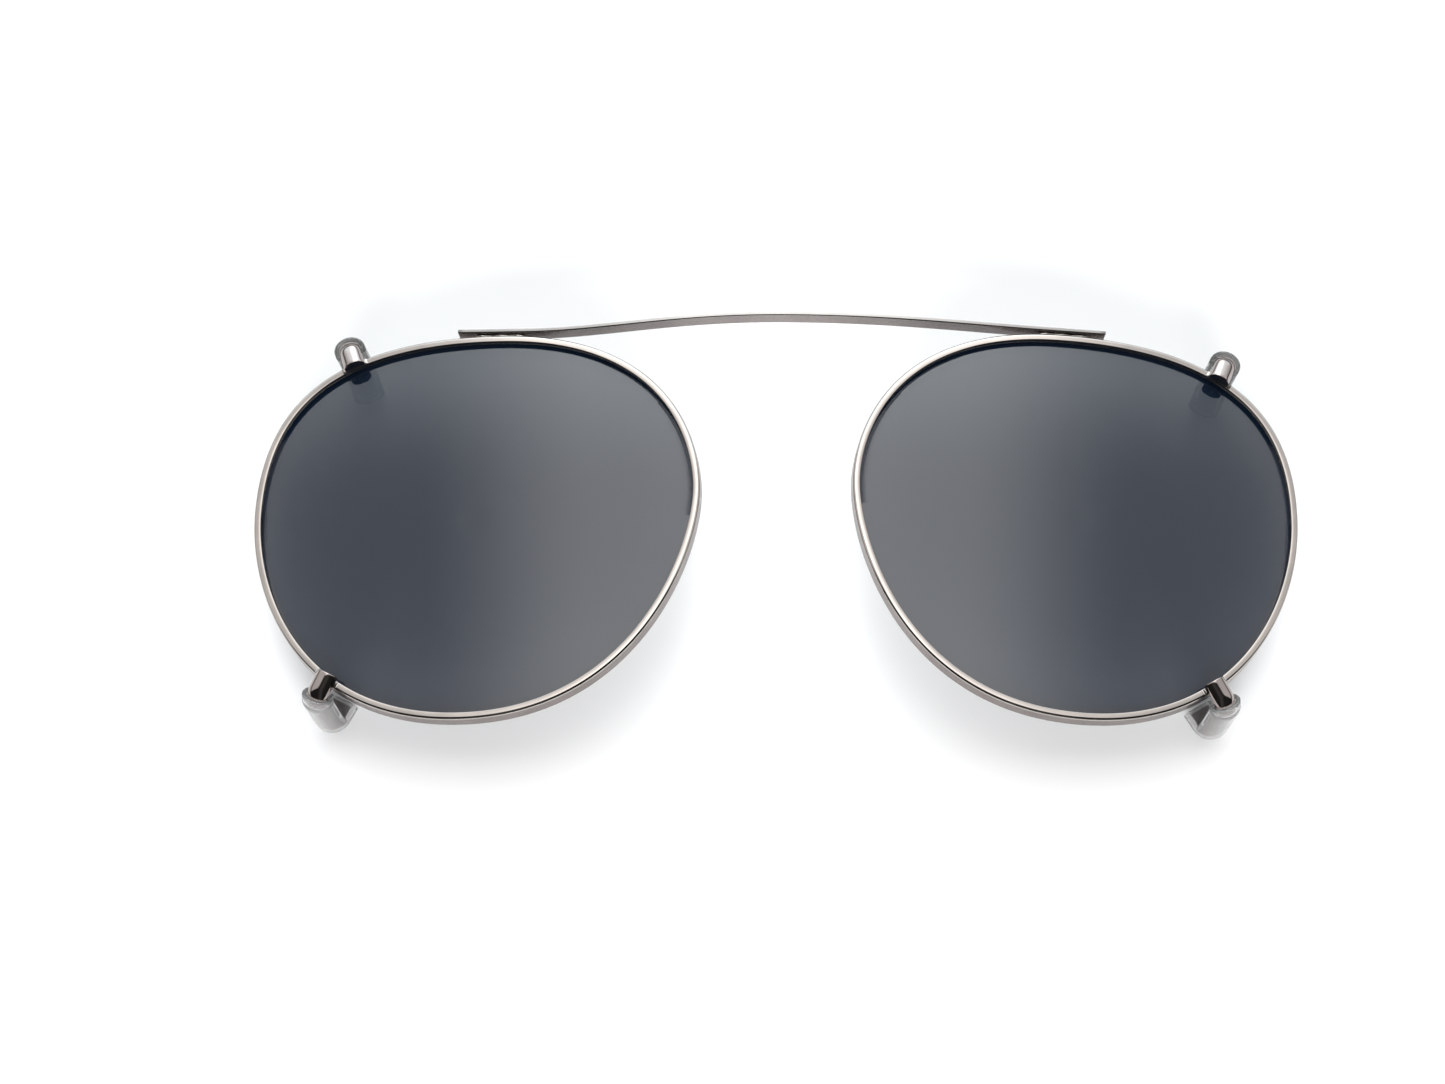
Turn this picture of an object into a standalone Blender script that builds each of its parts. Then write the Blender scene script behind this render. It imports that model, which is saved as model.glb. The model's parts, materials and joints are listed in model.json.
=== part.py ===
"""Clip-on sun lenses: two rimmed lenses on a spring bridge bar, held by four sleeved claws.

The object lies on its claws: +X to the wearer's left, +Y up the face, +Z out of the lens fronts.
Left and right in the names are as seen from the front, so the left unit is the one at -X.
Each lens unit is modelled in its own frame (u towards the temple, v up, w out of the front)
and then seated in the object. All lengths are metres.
"""

import math

import bmesh
import bpy
from mathutils import Matrix, Vector

MM = 0.001

# Lens size and place
LENS_WIDTH = 49.0 * MM
LENS_HEIGHT = 45.0 * MM
LENS_DISTANCE = 18.0 * MM
LENS_THICKNESS = 0.8 * MM
LENS_RADIUS = 132.0 * MM
WRAP_ANGLE = math.radians(6.0)
UNIT_TURN = math.radians(-1.75)

# Outline of the lens: where the four extremes lie and how full the curve is on each side of them
TOP_SHIFT = -2.2 * MM
BOTTOM_SHIFT = 0.9 * MM
NASAL_RISE = 3.6 * MM
TEMPLE_RISE = 2.1 * MM
TOP_FULLNESS = (0.84, 0.76)
TEMPLE_FULLNESS = (0.63, 0.40)
BOTTOM_FULLNESS = (0.73, 0.77)
NASAL_FULLNESS = (0.30, 0.30)

# Rim wire
RIM_INSIDE = 0.40 * MM
RIM_OUTSIDE = 0.40 * MM
RIM_DEPTH = 1.9 * MM
RIM_OUTER_CHAMFER = 0.16 * MM
RIM_INNER_CHAMFER = 0.05 * MM
RIM_CHAMFER_BREAK = 0.35
LENS_RECESS = 0.80 * MM
GROOVE_CLEARANCE = 0.09 * MM
LENS_EDGE_CLEARANCE = 0.06 * MM

# Bridge bar
BAR_THICKNESS = 0.42 * MM
BAR_DEPTH = 2.0 * MM
BAR_PROUD = 0.25 * MM
BAR_EDGE_SHARE = 0.22
BAR_RISE = 24.4 * MM
BAR_CROWN_HEIGHT = 0.55 * MM
FOOT_TEMPLE_END = 3.3 * MM
FOOT_NASAL_END = -4.6 * MM
BAR_FOOT_PULL = 0.30
BAR_CROWN_PULL = 0.42

# Claws
CLAW_WIDTH = 2.4 * MM
CLAW_THICKNESS = 1.15 * MM
CLAW_SIDE = 0.28 * MM
CLAW_REACH = 3.75 * MM
CLAW_DEPTH = 9.3 * MM
CLAW_BEND = 1.0 * MM
CLAW_TIP = 0.5 * MM

# Each claw's place along its quarter of the lens edge, and its lean away from the vertical
UPPER_LEFT_PLACE = 0.368
UPPER_RIGHT_PLACE = 0.410
LOWER_LEFT_PLACE = 0.655
LOWER_RIGHT_PLACE = 0.655
UPPER_LEFT_LEAN = math.radians(21.0)
UPPER_RIGHT_LEAN = math.radians(22.0)
LOWER_LEFT_LEAN = math.radians(26.0)
LOWER_RIGHT_LEAN = math.radians(33.0)

# Clear sleeves
SLEEVE_WALL = 0.55 * MM
SLEEVE_OVERHANG = 0.3 * MM
SLEEVE_START = math.radians(50.0)

# Brazed joints and fits
FIT = 0.04 * MM
BRAZE_THICKNESS = 0.16 * MM
CLAW_BRAZE_MARGIN = 0.35 * MM
CLAW_BRAZE_SPAN = 0.58 * MM
FOOT_BRAZE_DEPTH = 1.3 * MM
FOOT_BRAZE_ENDS = (1.2 * MM, -4.2 * MM)

# Fineness of the curved shapes
OUTLINE_STEPS = 16
BEND_STEPS = 5
CROWN_STEPS = 9
LENS_RINGS = 5
BAR_STEPS = 14
BRAZE_STEPS = 4
FINE_STEPS = 400
WELD_DISTANCE = 0.001 * MM
SHARP_ANGLE = math.radians(35)

HALF_WIDTH = LENS_WIDTH / 2
HALF_HEIGHT = LENS_HEIGHT / 2
UNIT_CENTRE = LENS_DISTANCE / 2 + HALF_WIDTH * math.cos(WRAP_ANGLE)
CLAW_SEAT = BRAZE_THICKNESS + 2 * FIT
FOOT_LINE = HALF_HEIGHT + RIM_OUTSIDE + BRAZE_THICKNESS + 2 * FIT + BAR_THICKNESS / 2

CLAWS = {
    "upper_left": (-1, True, UPPER_LEFT_PLACE, UPPER_LEFT_LEAN),
    "lower_left": (-1, False, LOWER_LEFT_PLACE, LOWER_LEFT_LEAN),
    "upper_right": (1, True, UPPER_RIGHT_PLACE, UPPER_RIGHT_LEAN),
    "lower_right": (1, False, LOWER_RIGHT_PLACE, LOWER_RIGHT_LEAN),
}

METAL = ("rim_metal", (0.62, 0.58, 0.55, 1.0), 1.0, 0.25)
SPRING = ("bar_metal", (0.66, 0.62, 0.60, 1.0), 1.0, 0.22)
CLAW_METAL = ("claw_metal", (0.60, 0.56, 0.53, 1.0), 1.0, 0.22)
BRAZE = ("braze_metal", (0.80, 0.77, 0.72, 1.0), 1.0, 0.3)
TINT = ("lens_tint", (0.07, 0.08, 0.10, 1.0), 0.0, 0.1)
CLEAR = ("sleeve_clear", (0.80, 0.82, 0.82, 1.0), 0.0, 0.3)


def clear_scene():
    """Remove whatever the new file starts with."""
    for thing in list(bpy.data.objects):
        bpy.data.objects.remove(thing, do_unlink=True)


def make_collections():
    """One collection for the object and one for its drawing profiles."""
    body = bpy.data.collections.new("clip_on_flip_lenses")
    tools = bpy.data.collections.new("profiles")
    bpy.context.scene.collection.children.link(body)
    bpy.context.scene.collection.children.link(tools)
    return body, tools


def sag(u, v):
    """How far the lens surface has fallen behind its centre at (u, v)."""
    return math.sqrt(LENS_RADIUS**2 - u * u - v * v) - LENS_RADIUS


def outline_segments():
    """The four Bezier quarters of the lens edge, clockwise from the top."""
    top = Vector((TOP_SHIFT, HALF_HEIGHT))
    temple = Vector((HALF_WIDTH, TEMPLE_RISE))
    bottom = Vector((BOTTOM_SHIFT, -HALF_HEIGHT))
    nasal = Vector((-HALF_WIDTH, NASAL_RISE))
    right = Vector((1, 0))
    up = Vector((0, 1))
    return (
        (
            top,
            top + right * TOP_FULLNESS[1] * (HALF_WIDTH - TOP_SHIFT),
            temple + up * TEMPLE_FULLNESS[0] * (HALF_HEIGHT - TEMPLE_RISE),
            temple,
        ),
        (
            temple,
            temple - up * TEMPLE_FULLNESS[1] * (HALF_HEIGHT + TEMPLE_RISE),
            bottom + right * BOTTOM_FULLNESS[0] * (HALF_WIDTH - BOTTOM_SHIFT),
            bottom,
        ),
        (
            bottom,
            bottom - right * BOTTOM_FULLNESS[1] * (HALF_WIDTH + BOTTOM_SHIFT),
            nasal - up * NASAL_FULLNESS[0] * (HALF_HEIGHT + NASAL_RISE),
            nasal,
        ),
        (
            nasal,
            nasal + up * NASAL_FULLNESS[1] * (HALF_HEIGHT - NASAL_RISE),
            top - right * TOP_FULLNESS[0] * (HALF_WIDTH + TOP_SHIFT),
            top,
        ),
    )


def bezier(knots, t):
    """Point at t on a cubic Bezier."""
    start, pull_start, pull_end, end = knots
    s = 1 - t
    return start * s**3 + pull_start * 3 * s * s * t + pull_end * 3 * s * t * t + end * t**3


def tangent(knots, t):
    """Unit direction of travel at t on a cubic Bezier."""
    start, pull_start, pull_end, end = knots
    s = 1 - t
    way = (pull_start - start) * s * s + (pull_end - pull_start) * 2 * s * t + (end - pull_end) * t * t
    return way.normalized()


def outline_points():
    """Points round the whole lens edge, clockwise."""
    points = []
    for knots in outline_segments():
        for step in range(OUTLINE_STEPS):
            points.append(bezier(knots, step / OUTLINE_STEPS))
    return points


def on_dome(points):
    """Lift flat outline points onto the lens surface."""
    return [Vector((p.x, p.y, sag(p.x, p.y))) for p in points]


def profile(name, points, tools):
    """A closed flat curve used as the section of a swept piece, x to the left of travel."""
    data = bpy.data.curves.new(name, "CURVE")
    data.dimensions = "2D"
    spline = data.splines.new("POLY")
    spline.points.add(len(points) - 1)
    for slot, (x, y) in zip(spline.points, points):
        slot.co = (-x, y, 0, 1)
    spline.use_cyclic_u = True
    section = bpy.data.objects.new(name, data)
    section.hide_render = True
    section.display_type = "WIRE"
    tools.objects.link(section)
    return section


def sweep(name, path, section, body, closed=False, caps=True):
    """Draw a section along a path; section x is to the left of travel and y is up."""
    data = bpy.data.curves.new(name + "_path", "CURVE")
    data.dimensions = "3D"
    data.twist_mode = "Z_UP"
    data.bevel_mode = "OBJECT"
    data.bevel_object = section
    data.use_fill_caps = caps and not closed
    spline = data.splines.new("POLY")
    spline.points.add(len(path) - 1)
    for slot, point in zip(spline.points, path):
        slot.co = (point[0], point[1], point[2], 1)
    spline.use_cyclic_u = closed
    curve = bpy.data.objects.new(name + "_path", data)
    body.objects.link(curve)
    bpy.context.view_layer.update()
    ready = curve.evaluated_get(bpy.context.evaluated_depsgraph_get())
    mesh = bpy.data.meshes.new_from_object(ready)
    bpy.data.objects.remove(curve, do_unlink=True)
    return finish_mesh(name, mesh, body)


def finish_mesh(name, mesh, body):
    """Weld a mesh, turn its faces outward and put it in the object's collection."""
    work = bmesh.new()
    work.from_mesh(mesh)
    bmesh.ops.remove_doubles(work, verts=work.verts, dist=WELD_DISTANCE)
    bmesh.ops.recalc_face_normals(work, faces=work.faces)
    work.to_mesh(mesh)
    work.free()
    mesh.name = name
    piece = bpy.data.objects.new(name, mesh)
    body.objects.link(piece)
    return piece


def modify(piece, kind, **settings):
    """Add a modifier with the given settings and apply it."""
    change = piece.modifiers.new(kind.lower(), kind)
    for key, value in settings.items():
        setattr(change, key, value)
    bpy.context.view_layer.update()
    ready = piece.evaluated_get(bpy.context.evaluated_depsgraph_get())
    mesh = bpy.data.meshes.new_from_object(ready)
    piece.modifiers.clear()
    old = piece.data
    piece.data = mesh
    bpy.data.meshes.remove(old)


def paint(piece, look):
    """Give a piece its own material and smooth its rounded faces."""
    name, colour, metallic, roughness = look
    material = bpy.data.materials.new(f"{name}_{piece.name}")
    material.use_nodes = True
    shader = material.node_tree.nodes["Principled BSDF"]
    shader.inputs["Base Color"].default_value = colour
    shader.inputs["Metallic"].default_value = metallic
    shader.inputs["Roughness"].default_value = roughness
    piece.data.materials.clear()
    piece.data.materials.append(material)
    piece.data.shade_smooth()
    piece.data.set_sharp_from_angle(angle=SHARP_ANGLE)


def unit_seat(side):
    """Matrix from a lens unit's own frame to the object; side is 1 for +X and -1 for -X."""
    place = Matrix.Translation((side * UNIT_CENTRE, 0, 0))
    turn = Matrix.Rotation(UNIT_TURN, 4, "Z")
    mirror = Matrix.Diagonal((side, 1, 1, 1))
    wrap = Matrix.Rotation(WRAP_ANGLE, 4, "Y")
    return place @ turn @ mirror @ wrap


def seat(piece, matrix):
    """Move a piece's mesh by a matrix, keeping its faces outward when mirrored."""
    piece.data.transform(matrix)
    if matrix.determinant() < 0:
        piece.data.flip_normals()


def rim_section():
    """Section of the rim wire: +x is outward from the lens, y runs down from the front face."""
    front_groove = -LENS_RECESS + GROOVE_CLEARANCE
    back_groove = -LENS_RECESS - LENS_THICKNESS - GROOVE_CLEARANCE
    return [
        (-RIM_INSIDE, front_groove),
        (-RIM_INSIDE, -RIM_INNER_CHAMFER),
        (-RIM_INSIDE + RIM_INNER_CHAMFER, 0),
        (RIM_OUTSIDE - RIM_OUTER_CHAMFER, 0),
        (RIM_OUTSIDE - RIM_OUTER_CHAMFER * RIM_CHAMFER_BREAK, -RIM_OUTER_CHAMFER * RIM_CHAMFER_BREAK),
        (RIM_OUTSIDE, -RIM_OUTER_CHAMFER),
        (RIM_OUTSIDE, -RIM_DEPTH + RIM_INNER_CHAMFER),
        (RIM_OUTSIDE - RIM_INNER_CHAMFER, -RIM_DEPTH),
        (-RIM_INSIDE, -RIM_DEPTH),
        (-RIM_INSIDE, back_groove),
        (LENS_EDGE_CLEARANCE, back_groove),
        (LENS_EDGE_CLEARANCE, front_groove),
    ]


def make_rim(name, side, body, tools):
    """The grooved wire bent round the lens."""
    section = profile(name + "_section", rim_section(), tools)
    rim = sweep(name, on_dome(outline_points()), section, body, closed=True)
    seat(rim, unit_seat(side))
    paint(rim, METAL)
    return rim


def make_lens(name, side, body):
    """The tinted lens: a domed sheet edged to the outline and thickened backwards."""
    mesh = bpy.data.meshes.new(name)
    work = bmesh.new()
    edge = [work.verts.new((p.x, p.y, 0)) for p in outline_points()]
    loop = [work.edges.new((edge[i - 1], edge[i])) for i in range(len(edge))]
    for ring in range(1, LENS_RINGS):
        grown = bmesh.ops.extrude_edge_only(work, edges=loop)["geom"]
        verts = [g for g in grown if isinstance(g, bmesh.types.BMVert)]
        loop = [g for g in grown if isinstance(g, bmesh.types.BMEdge)]
        shrink = 1 - 1 / (LENS_RINGS - ring + 1)
        bmesh.ops.scale(work, vec=(shrink, shrink, 1), verts=verts)
    cap = bmesh.ops.contextual_create(work, geom=loop)["faces"]
    bmesh.ops.poke(work, faces=cap)
    for vert in work.verts:
        vert.co.z = sag(vert.co.x, vert.co.y) - LENS_RECESS
    bmesh.ops.recalc_face_normals(work, faces=work.faces)
    if sum(face.normal.z for face in work.faces) < 0:
        bmesh.ops.reverse_faces(work, faces=work.faces)
    work.to_mesh(mesh)
    work.free()
    lens = bpy.data.objects.new(name, mesh)
    body.objects.link(lens)
    modify(lens, "SOLIDIFY", thickness=LENS_THICKNESS, offset=-1)
    seat(lens, unit_seat(side))
    paint(lens, TINT)
    return lens


def claw_root(corner):
    """Point on the rim's inner edge where a claw starts."""
    _, upper, place, _ = CLAWS[corner]
    knots = outline_segments()[0 if upper else 1]
    along = tangent(knots, place)
    return bezier(knots, place) - Vector((-along.y, along.x)) * RIM_INSIDE


def claw_seat(corner):
    """Matrix from a claw's drawing plane (x outward, y up the wire, z sideways) to the object."""
    side, upper, _, lean = CLAWS[corner]
    root = claw_root(corner)
    out = Vector((math.sin(lean), math.cos(lean) if upper else -math.cos(lean), 0))
    front = Vector((0, 0, 1))
    matrix = Matrix((out, front, out.cross(front))).transposed().to_4x4()
    matrix.translation = (root.x, root.y, sag(root.x, root.y))
    return unit_seat(side) @ matrix


def claw_path(start_angle=None, tip=CLAW_TIP):
    """Inner face of the claw wire in its drawing plane, from the root over the back to the tip."""
    back = CLAW_REACH - CLAW_THICKNESS
    shoulder = back - CLAW_BEND
    path = []
    if start_angle is None:
        path.append((0, CLAW_SEAT))
        start_angle = 0
    sweep_angle = math.pi / 2 - start_angle
    for step in range(BEND_STEPS + 1):
        a = start_angle + sweep_angle * step / BEND_STEPS
        x = shoulder + CLAW_BEND * math.sin(a)
        y = CLAW_SEAT - CLAW_BEND + CLAW_BEND * math.cos(a)
        path.append((x, y))
    for step in range(BEND_STEPS + 1):
        a = math.pi / 2 * step / BEND_STEPS
        x = shoulder + CLAW_BEND * math.cos(a)
        y = -CLAW_DEPTH + CLAW_THICKNESS + SLEEVE_WALL + CLAW_BEND - CLAW_BEND * math.sin(a)
        path.append((x, y))
    path.append((tip, path[-1][1]))
    return [(x, y, 0) for x, y in path]


def claw_section(gap=0.0):
    """Half-round section of the claw wire, flat on the path, crown outward, grown by a gap."""
    half = CLAW_WIDTH / 2 + gap
    rise = CLAW_THICKNESS - CLAW_SIDE
    points = []
    for step in range(CROWN_STEPS):
        a = math.pi * step / (CROWN_STEPS - 1) - math.pi / 2
        points.append((CLAW_SIDE + (rise + gap) * math.cos(a), half * math.sin(a)))
    points.append((-gap, half))
    points.append((-gap, -half))
    return points


def make_claw(corner, body, tools):
    """Half-round claw from the rim's front over its edge and back behind it."""
    name = f"claw_{corner}"
    section = profile(name + "_section", claw_section(), tools)
    claw = sweep(name, claw_path(), section, body)
    seat(claw, claw_seat(corner))
    paint(claw, CLAW_METAL)
    return claw


def make_sleeve(corner, body, tools):
    """Clear tube drawn over the back and the return leg of a claw."""
    name = f"sleeve_{corner}"
    section = profile(name + "_section", claw_section(FIT), tools)
    path = claw_path(SLEEVE_START, CLAW_TIP - SLEEVE_OVERHANG)
    sleeve = sweep(name, path, section, body, caps=False)
    if sum(face.normal.z * face.center.z for face in sleeve.data.polygons) < 0:
        sleeve.data.flip_normals()
    modify(sleeve, "SOLIDIFY", thickness=SLEEVE_WALL, offset=1)
    seat(sleeve, claw_seat(corner))
    paint(sleeve, CLEAR)
    return sleeve


def outline_between(u_start, u_end, steps):
    """Points of the outline's top between two u values."""
    points = [p for p in fine_outline() if p.y > 0 and min(u_start, u_end) <= p.x <= max(u_start, u_end)]
    points.sort(key=lambda p: p.x)
    stride = (len(points) - 1) / steps
    return [points[round(stride * i)] for i in range(steps + 1)]


def fine_outline():
    """The outline in steps fine enough to cut short lengths from it."""
    points = []
    for knots in outline_segments():
        for step in range(FINE_STEPS):
            points.append(bezier(knots, step / FINE_STEPS))
    return points


def make_claw_braze(corner, body, tools):
    """Solder pad between the rim's front face and a claw, showing on both sides of the claw."""
    name = f"braze_{corner}"
    side, upper, _, _ = CLAWS[corner]
    root = claw_root(corner)
    reach = CLAW_WIDTH / 2 + CLAW_BRAZE_MARGIN
    near = [p for p in fine_outline() if (p - root).length < math.hypot(reach, RIM_INSIDE)]
    near.sort(key=lambda p: p.x if upper else -p.x)
    stride = (len(near) - 1) / BRAZE_STEPS
    path = on_dome([near[round(stride * i)] for i in range(BRAZE_STEPS + 1)])
    inner = -RIM_INSIDE + RIM_INNER_CHAMFER
    low = FIT
    high = FIT + BRAZE_THICKNESS
    points = [(inner, low), (inner + CLAW_BRAZE_SPAN, low), (inner + CLAW_BRAZE_SPAN, high), (inner, high)]
    section = profile(name + "_section", points, tools)
    braze = sweep(name, path, section, body)
    seat(braze, unit_seat(side))
    paint(braze, BRAZE)
    return braze


def make_foot_braze(name, side, body, tools):
    """Solder filling between the rim's top and a foot of the bridge bar."""
    path = on_dome(outline_between(*FOOT_BRAZE_ENDS, BRAZE_STEPS))
    near = RIM_OUTSIDE + FIT
    far = near + BRAZE_THICKNESS
    low = -RIM_OUTER_CHAMFER - FOOT_BRAZE_DEPTH
    points = [(near, low), (far, low), (far, -RIM_OUTER_CHAMFER), (near, -RIM_OUTER_CHAMFER)]
    section = profile(name + "_section", points, tools)
    braze = sweep(name, path, section, body)
    seat(braze, unit_seat(side))
    paint(braze, BRAZE)
    return braze


def foot_point(side, u):
    """Point of the bar's centre line over a rim's top, in the object."""
    middle = BAR_PROUD - BAR_DEPTH / 2
    return unit_seat(side) @ Vector((u, FOOT_LINE, sag(u, HALF_HEIGHT) + middle))


def bar_path():
    """Centre line of the bridge bar from the -X foot over the crown to the +X foot."""
    crown = Vector((0, BAR_RISE, BAR_CROWN_HEIGHT - BAR_DEPTH / 2))
    path = []
    for side in (-1, 1):
        end = foot_point(side, FOOT_TEMPLE_END)
        start = foot_point(side, FOOT_NASAL_END)
        way = (start - end).normalized()
        reach = abs(start.x)
        level = Vector((side, 0, 0))
        knots = (start, start + way * reach * BAR_FOOT_PULL, crown + level * reach * BAR_CROWN_PULL, crown)
        half = [end, end.lerp(start, 0.5)]
        half += [bezier(knots, step / BAR_STEPS) for step in range(BAR_STEPS)]
        path = path + half + [crown] if side < 0 else path + half[::-1]
    return path


def make_bar(name, body, tools):
    """The flat spring strip joining the two rims."""
    half_t = BAR_THICKNESS / 2
    half_d = BAR_DEPTH / 2
    cut = BAR_THICKNESS * BAR_EDGE_SHARE
    points = [
        (half_t, -half_d + cut),
        (half_t, half_d - cut),
        (half_t - cut, half_d),
        (-half_t + cut, half_d),
        (-half_t, half_d - cut),
        (-half_t, -half_d + cut),
        (-half_t + cut, -half_d),
        (half_t - cut, -half_d),
    ]
    section = profile(name + "_section", points, tools)
    bar = sweep(name, bar_path(), section, body)
    paint(bar, SPRING)
    return bar


def settle(pieces):
    """Bring the middle of the whole object's underside to the origin and return the move made."""
    corners = [v.co for piece in pieces for v in piece.data.vertices]
    low = [min(c[i] for c in corners) for i in range(3)]
    high = [max(c[i] for c in corners) for i in range(3)]
    shift = Vector((-(low[0] + high[0]) / 2, -(low[1] + high[1]) / 2, -low[2]))
    for piece in pieces:
        piece.data.transform(Matrix.Translation(shift))
    return shift


def build():
    """Make every piece and hang the +X unit on the flex line in the bar's middle."""
    clear_scene()
    body, tools = make_collections()
    bar = make_bar("bridge_bar", body, tools)
    pieces = [bar]
    moving = []
    for side, hand in ((-1, "left"), (1, "right")):
        unit = [
            make_rim(f"rim_{hand}", side, body, tools),
            make_lens(f"lens_{hand}", side, body),
            make_foot_braze(f"braze_foot_{hand}", side, body, tools),
        ]
        for corner in (f"upper_{hand}", f"lower_{hand}"):
            unit.append(make_claw(corner, body, tools))
            unit.append(make_sleeve(corner, body, tools))
            unit.append(make_claw_braze(corner, body, tools))
        pieces += unit
        if side > 0:
            moving = unit
    shift = settle(pieces)
    flex = bpy.data.objects.new("bridge_flex_line", None)
    flex.location = Vector((0, BAR_RISE, BAR_CROWN_HEIGHT - BAR_DEPTH / 2)) + shift
    body.objects.link(flex)
    bpy.context.view_layer.update()
    for piece in moving:
        piece.parent = flex
        piece.matrix_parent_inverse = flex.matrix_world.inverted()


build()
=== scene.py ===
import json
import math

import bmesh
import bpy
from mathutils import Matrix, Vector, noise


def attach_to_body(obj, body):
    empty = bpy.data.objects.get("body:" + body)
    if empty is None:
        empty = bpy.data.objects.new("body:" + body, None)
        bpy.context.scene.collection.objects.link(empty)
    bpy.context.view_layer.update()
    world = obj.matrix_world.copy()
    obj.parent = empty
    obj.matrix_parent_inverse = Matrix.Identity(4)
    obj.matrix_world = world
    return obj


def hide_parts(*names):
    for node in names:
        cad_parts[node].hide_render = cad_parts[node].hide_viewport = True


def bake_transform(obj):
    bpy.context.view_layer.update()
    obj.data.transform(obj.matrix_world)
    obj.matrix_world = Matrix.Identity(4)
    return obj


MM = 0.001

# Lens outline and seat of each lens unit, as in the CAD part
HALF_WIDTH = 24.5 * MM
HALF_HEIGHT = 22.5 * MM
LENS_DISTANCE = 18.0 * MM
LENS_THICKNESS = 0.8 * MM
LENS_RADIUS = 132.0 * MM
WRAP_ANGLE = math.radians(6.0)
UNIT_TURN = math.radians(-1.75)
TOP_SHIFT = -2.2 * MM
BOTTOM_SHIFT = 0.9 * MM
NASAL_RISE = 3.6 * MM
TEMPLE_RISE = 2.1 * MM
TOP_FULLNESS = (0.84, 0.76)
TEMPLE_FULLNESS = (0.63, 0.40)
BOTTOM_FULLNESS = (0.73, 0.77)
NASAL_FULLNESS = (0.30, 0.30)

# Rim wire
RIM_INSIDE = 0.40 * MM
RIM_OUTSIDE = 0.40 * MM
RIM_DEPTH = 1.9 * MM
RIM_OUTER_ROUND = 0.30 * MM
RIM_INNER_ROUND = 0.07 * MM
RIM_BACK_ROUND = 0.10 * MM
LENS_RECESS = 0.80 * MM
GROOVE_CLEARANCE = 0.09 * MM
LENS_EDGE_CLEARANCE = 0.06 * MM
LENS_BEVEL = 0.12 * MM

# Bridge bar
BAR_THICKNESS = 0.42 * MM
BAR_DEPTH = 2.0 * MM
BAR_NEAR_ROUND = 0.14 * MM
BAR_FAR_ROUND = 0.05 * MM
BAR_END_ROUND = 0.15 * MM
BAR_PROUD = 0.25 * MM
BAR_RISE = 24.4 * MM
BAR_CROWN_HEIGHT = 0.55 * MM
FOOT_TEMPLE_END = 3.3 * MM
FOOT_NASAL_END = -4.6 * MM
BAR_FOOT_PULL = 0.30
BAR_CROWN_PULL = 0.42

# How far past its rounding a front stays polished and lighter, as a share of the radius; past it the satin
# sides are painted darker as shade
POLISH_REACH = 1.05

# Claws: size, and each one's place along its quarter of the lens edge and lean
CLAW_WIDTH = 2.4 * MM
CLAW_THICKNESS = 1.15 * MM
CLAW_SIDE = 0.28 * MM
CLAW_REACH = 3.75 * MM
CLAW_DEPTH = 9.3 * MM
CLAW_BEND = 1.0 * MM
CLAW_TIP = 0.5 * MM
CLAW_ROUND = 0.12 * MM
CLAW_END_ROUND = 0.13 * MM
CLAW_RUN_STEPS = 6
CLAW_DROP_STEPS = 8
CLAW_SLOPE = math.radians(11.0)
CLAWS = {
    "upper_left": (-1, True, 0.368, math.radians(21.0)),
    "lower_left": (-1, False, 0.655, math.radians(26.0)),
    "upper_right": (1, True, 0.410, math.radians(22.0)),
    "lower_right": (1, False, 0.655, math.radians(33.0)),
}

# Clear sleeves
SLEEVE_WALL = 0.55 * MM
SLEEVE_OVERHANG = 0.3 * MM
SLEEVE_START = math.radians(50.0)
SLEEVE_ROUND = 0.45 * MM
SLEEVE_NECK = 0.07 * MM
NECK_STATION = 7
NECK_LENGTH = 2.4
LIP_STEPS = 6
SKIN_UNEVENNESS = 0.02 * MM
SKIN_GRAIN = 900

# How far the visible outer skins stay inside the plain solids they stand for
SKIN_INSET = 0.02 * MM

# Brazed joints
FIT = 0.04 * MM
BRAZE_THICKNESS = 0.16 * MM
BRAZE_RISE = 0.22 * MM
BRAZE_RUN = 0.36 * MM
BRAZE_SPAN = 0.58 * MM
FOOT_BRAZE_DEPTH = 1.3 * MM
FOOT_BRAZE_ENDS = (1.2 * MM, -4.2 * MM)
BRAZE_TAIL = 0.015 * MM
BRAZE_ROUND = 0.1 * MM
FOOT_BRAZE_WAVE = 0.10 * MM
FOOT_BRAZE_GRAIN = 1800

# Fineness
OUTLINE_STEPS = 80
LENS_RINGS = 20
BEND_STEPS = 16
CROWN_STEPS = 24
CORNER_STEPS = 5
BAR_STEPS = 60
FOOT_STEPS = 12
CLAW_BRAZE_STEPS = 40
FOOT_BRAZE_STEPS = 60
END_STEPS = 4
FINE_STEPS = 400

# View of the object: the camera's place and aim, its lens, and the frame's sideways offset
CAMERA_PLACE = Vector((-0.06, -149.2, 362.2)) * MM
CAMERA_AIM = Vector((-0.06, -3.94, 13.31)) * MM
CAMERA_LENS = 86.4
CAMERA_SHIFT = -0.0367

# Studio: the near half's share of the light, the tent, the strip overhead, the light low at the
# back, the fill light in watts and the tone of the plain backdrop
NEAR_DARK = 0.03
TENT_GLOW = 1.1
STRIP_GLOW = 2.4
BACK_GLOW = 1.3
FILL_POWER = 8.0
BACKDROP_TONE = 0.92

UNIT_CENTRE = LENS_DISTANCE / 2 + HALF_WIDTH * math.cos(WRAP_ANGLE)
CLAW_SEAT = BRAZE_THICKNESS + 2 * FIT
FOOT_LINE = HALF_HEIGHT + RIM_OUTSIDE + BRAZE_THICKNESS + 2 * FIT + BAR_THICKNESS / 2

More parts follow.
